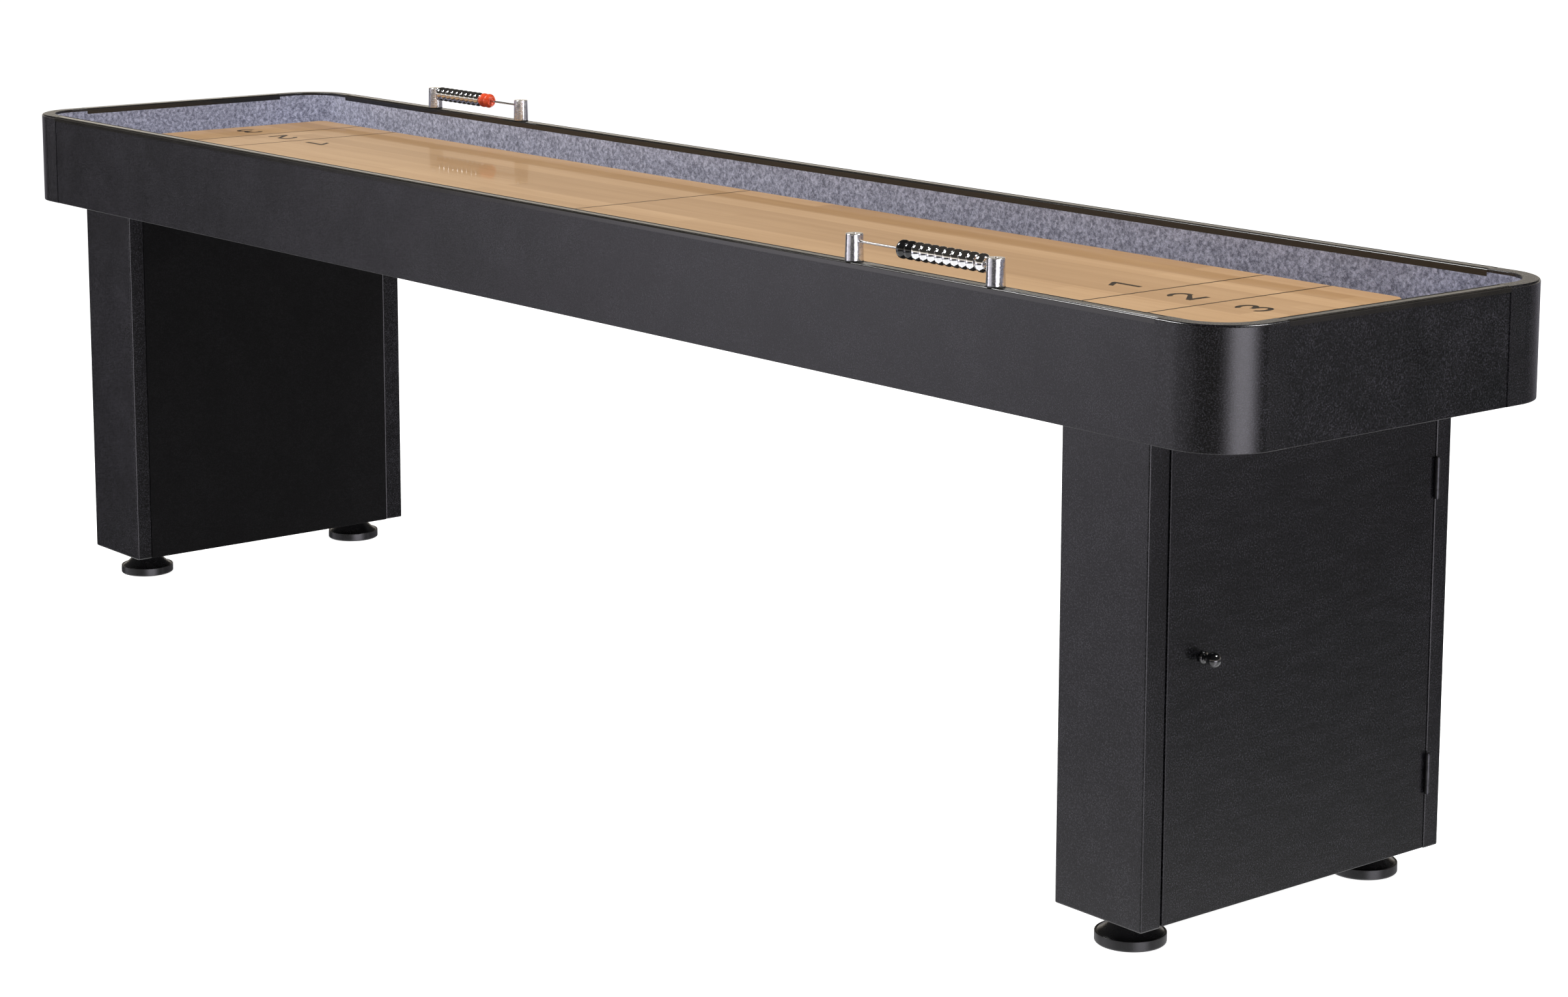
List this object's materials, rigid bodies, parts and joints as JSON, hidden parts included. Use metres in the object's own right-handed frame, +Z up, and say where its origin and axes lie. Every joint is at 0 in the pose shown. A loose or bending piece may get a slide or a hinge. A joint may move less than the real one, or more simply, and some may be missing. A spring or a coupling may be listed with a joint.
{
  "type": "shuffleboard table",
  "caption": "Table with a long narrow wooden playing board in a carpeted gutter, rounded rail corners, bead scorers on the rails and pedestal legs with storage doors and screw feet.",
  "frame": {"origin": "on the floor, under the centre of the table", "axes": "+X along the table to its right-hand end, +Y from the near long side to the far one, +Z up"},
  "size_m": [2.743, 0.5856, 0.7985],
  "materials": {
    "black_laminate": "fine-textured black laminate",
    "shelf_board": "matt black-faced board",
    "corner_plastic": "fine-textured black plastic",
    "cap_plastic": "satin black plastic",
    "carpet": "short heathered blue-grey pile",
    "maple": "clear gloss lacquer",
    "riser_wood": "bare softwood",
    "score_print": "printed film under lacquer",
    "chrome": "polished",
    "black_bead": "gloss",
    "red_bead": "gloss",
    "hinge_steel": "black-finished steel",
    "catch_plastic": "moulded",
    "knob_plastic": "gloss",
    "foot_plastic": "satin gloss"
  },
  "bodies": {
    "cabinet": {"cabinet_floor": "shelf_board", "corner_mouldings": "corner_plastic", "door_catches": "catch_plastic", "front_apron": "black_laminate", "gutter_carpet": "carpet", "hinge_frame_leaves": "hinge_steel", "hinge_pins": "hinge_steel", "left_end_apron": "black_laminate", "left_pedestal_inner_panel": "black_laminate", "left_pedestal_shelves": "shelf_board", "left_pedestal_sides": "black_laminate", "leveler_inserts": "hinge_steel", "playfield_board": "maple", "playfield_risers": "riser_wood", "rail_caps": "cap_plastic", "rear_apron": "black_laminate", "right_end_apron": "black_laminate", "right_pedestal_inner_panel": "black_laminate", "right_pedestal_shelves": "shelf_board", "right_pedestal_sides": "black_laminate", "score_markings": "score_print", "scorer_posts": "chrome", "scorer_rods": "chrome", "wall_carpet": "carpet"},
    "right_door_body": {"right_door": "black_laminate", "right_door_hinge_leaves": "hinge_steel", "right_door_knob": "knob_plastic", "right_door_strike": "hinge_steel"},
    "left_door_body": {"left_door": "black_laminate", "left_door_hinge_leaves": "hinge_steel", "left_door_knob": "knob_plastic", "left_door_strike": "hinge_steel"},
    "front_right_foot": {"front_right_leveler": "foot_plastic"},
    "front_left_foot": {"front_left_leveler": "foot_plastic"},
    "rear_right_foot": {"rear_right_leveler": "foot_plastic"},
    "rear_left_foot": {"rear_left_leveler": "foot_plastic"},
    "front_bead_01": {"front_scorer_chrome_bead_1": "chrome"},
    "front_bead_02": {"front_scorer_chrome_bead_2": "chrome"},
    "front_bead_03": {"front_scorer_chrome_bead_3": "chrome"},
    "front_bead_04": {"front_scorer_chrome_bead_4": "chrome"},
    "front_bead_05": {"front_scorer_chrome_bead_5": "chrome"},
    "front_bead_06": {"front_scorer_chrome_bead_6": "chrome"},
    "front_bead_07": {"front_scorer_chrome_bead_7": "chrome"},
    "front_bead_08": {"front_scorer_chrome_bead_8": "chrome"},
    "front_bead_09": {"front_scorer_chrome_bead_9": "chrome"},
    "front_bead_10": {"front_scorer_black_bead_1": "black_bead"},
    "front_bead_11": {"front_scorer_black_bead_2": "black_bead"},
    "rear_bead_01": {"rear_scorer_chrome_bead_1": "chrome"},
    "rear_bead_02": {"rear_scorer_chrome_bead_2": "chrome"},
    "rear_bead_03": {"rear_scorer_chrome_bead_3": "chrome"},
    "rear_bead_04": {"rear_scorer_chrome_bead_4": "chrome"},
    "rear_bead_05": {"rear_scorer_chrome_bead_5": "chrome"},
    "rear_bead_06": {"rear_scorer_chrome_bead_6": "chrome"},
    "rear_bead_07": {"rear_scorer_chrome_bead_7": "chrome"},
    "rear_bead_08": {"rear_scorer_chrome_bead_8": "chrome"},
    "rear_bead_09": {"rear_scorer_chrome_bead_9": "chrome"},
    "rear_bead_10": {"rear_scorer_red_bead_1": "red_bead"},
    "rear_bead_11": {"rear_scorer_red_bead_2": "red_bead"}
  },
  "joints": [
    {"name": "right_door_hinge", "type": "hinge", "parent": "cabinet", "child": "right_door_body", "pos_m": [1.2355, 0.231, 0], "axis": [0, 0, 1], "range_deg": [0, 165]},
    {"name": "left_door_hinge", "type": "hinge", "parent": "cabinet", "child": "left_door_body", "pos_m": [-1.2355, -0.231, 0], "axis": [0, 0, 1], "range_deg": [0, 165]},
    {"name": "front_right_foot_screw", "type": "slide", "parent": "cabinet", "child": "front_right_foot", "axis": [0, 0, -1], "range_m": [-0.005, 0.01]},
    {"name": "front_left_foot_screw", "type": "slide", "parent": "cabinet", "child": "front_left_foot", "axis": [0, 0, -1], "range_m": [-0.005, 0.01]},
    {"name": "rear_right_foot_screw", "type": "slide", "parent": "cabinet", "child": "rear_right_foot", "axis": [0, 0, -1], "range_m": [-0.005, 0.01]},
    {"name": "rear_left_foot_screw", "type": "slide", "parent": "cabinet", "child": "rear_left_foot", "axis": [0, 0, -1], "range_m": [-0.005, 0.01]},
    {"name": "front_bead_01_slide", "type": "slide", "parent": "cabinet", "child": "front_bead_01", "axis": [-1, 0, 0], "range_m": [-0.0025, 0.0065]},
    {"name": "front_bead_02_slide", "type": "slide", "parent": "front_bead_01", "child": "front_bead_02", "axis": [-1, 0, 0], "range_m": [-0.0025, 0.0065]},
    {"name": "front_bead_03_slide", "type": "slide", "parent": "front_bead_02", "child": "front_bead_03", "axis": [-1, 0, 0], "range_m": [0, 0.0065]},
    {"name": "front_bead_04_slide", "type": "slide", "parent": "front_bead_03", "child": "front_bead_04", "axis": [-1, 0, 0], "range_m": [0, 0.0065]},
    {"name": "front_bead_05_slide", "type": "slide", "parent": "front_bead_04", "child": "front_bead_05", "axis": [-1, 0, 0], "range_m": [0, 0.0065]},
    {"name": "front_bead_06_slide", "type": "slide", "parent": "front_bead_05", "child": "front_bead_06", "axis": [-1, 0, 0], "range_m": [0, 0.0065]},
    {"name": "front_bead_07_slide", "type": "slide", "parent": "front_bead_06", "child": "front_bead_07", "axis": [-1, 0, 0], "range_m": [0, 0.0065]},
    {"name": "front_bead_08_slide", "type": "slide", "parent": "front_bead_07", "child": "front_bead_08", "axis": [-1, 0, 0], "range_m": [0, 0.0065]},
    {"name": "front_bead_09_slide", "type": "slide", "parent": "front_bead_08", "child": "front_bead_09", "axis": [-1, 0, 0], "range_m": [0, 0.0065]},
    {"name": "front_bead_10_slide", "type": "slide", "parent": "front_bead_09", "child": "front_bead_10", "axis": [-1, 0, 0], "range_m": [0, 0.0065]},
    {"name": "front_bead_11_slide", "type": "slide", "parent": "front_bead_10", "child": "front_bead_11", "axis": [-1, 0, 0], "range_m": [0, 0.0065]},
    {"name": "rear_bead_01_slide", "type": "slide", "parent": "cabinet", "child": "rear_bead_01", "axis": [1, 0, 0], "range_m": [-0.0025, 0.0065]},
    {"name": "rear_bead_02_slide", "type": "slide", "parent": "rear_bead_01", "child": "rear_bead_02", "axis": [1, 0, 0], "range_m": [0, 0.0065]},
    {"name": "rear_bead_03_slide", "type": "slide", "parent": "rear_bead_02", "child": "rear_bead_03", "axis": [1, 0, 0], "range_m": [0, 0.0065]},
    {"name": "rear_bead_04_slide", "type": "slide", "parent": "rear_bead_03", "child": "rear_bead_04", "axis": [1, 0, 0], "range_m": [0, 0.0065]},
    {"name": "rear_bead_05_slide", "type": "slide", "parent": "rear_bead_04", "child": "rear_bead_05", "axis": [1, 0, 0], "range_m": [0, 0.0065]},
    {"name": "rear_bead_06_slide", "type": "slide", "parent": "rear_bead_05", "child": "rear_bead_06", "axis": [1, 0, 0], "range_m": [0, 0.0065]},
    {"name": "rear_bead_07_slide", "type": "slide", "parent": "rear_bead_06", "child": "rear_bead_07", "axis": [1, 0, 0], "range_m": [0, 0.0065]},
    {"name": "rear_bead_08_slide", "type": "slide", "parent": "rear_bead_07", "child": "rear_bead_08", "axis": [1, 0, 0], "range_m": [0, 0.0065]},
    {"name": "rear_bead_09_slide", "type": "slide", "parent": "rear_bead_08", "child": "rear_bead_09", "axis": [1, 0, 0], "range_m": [0, 0.0065]},
    {"name": "rear_bead_10_slide", "type": "slide", "parent": "rear_bead_09", "child": "rear_bead_10", "axis": [1, 0, 0], "range_m": [-0.0025, 0.0065]},
    {"name": "rear_bead_11_slide", "type": "slide", "parent": "rear_bead_10", "child": "rear_bead_11", "axis": [1, 0, 0], "range_m": [0, 0.0065]}
  ]
}
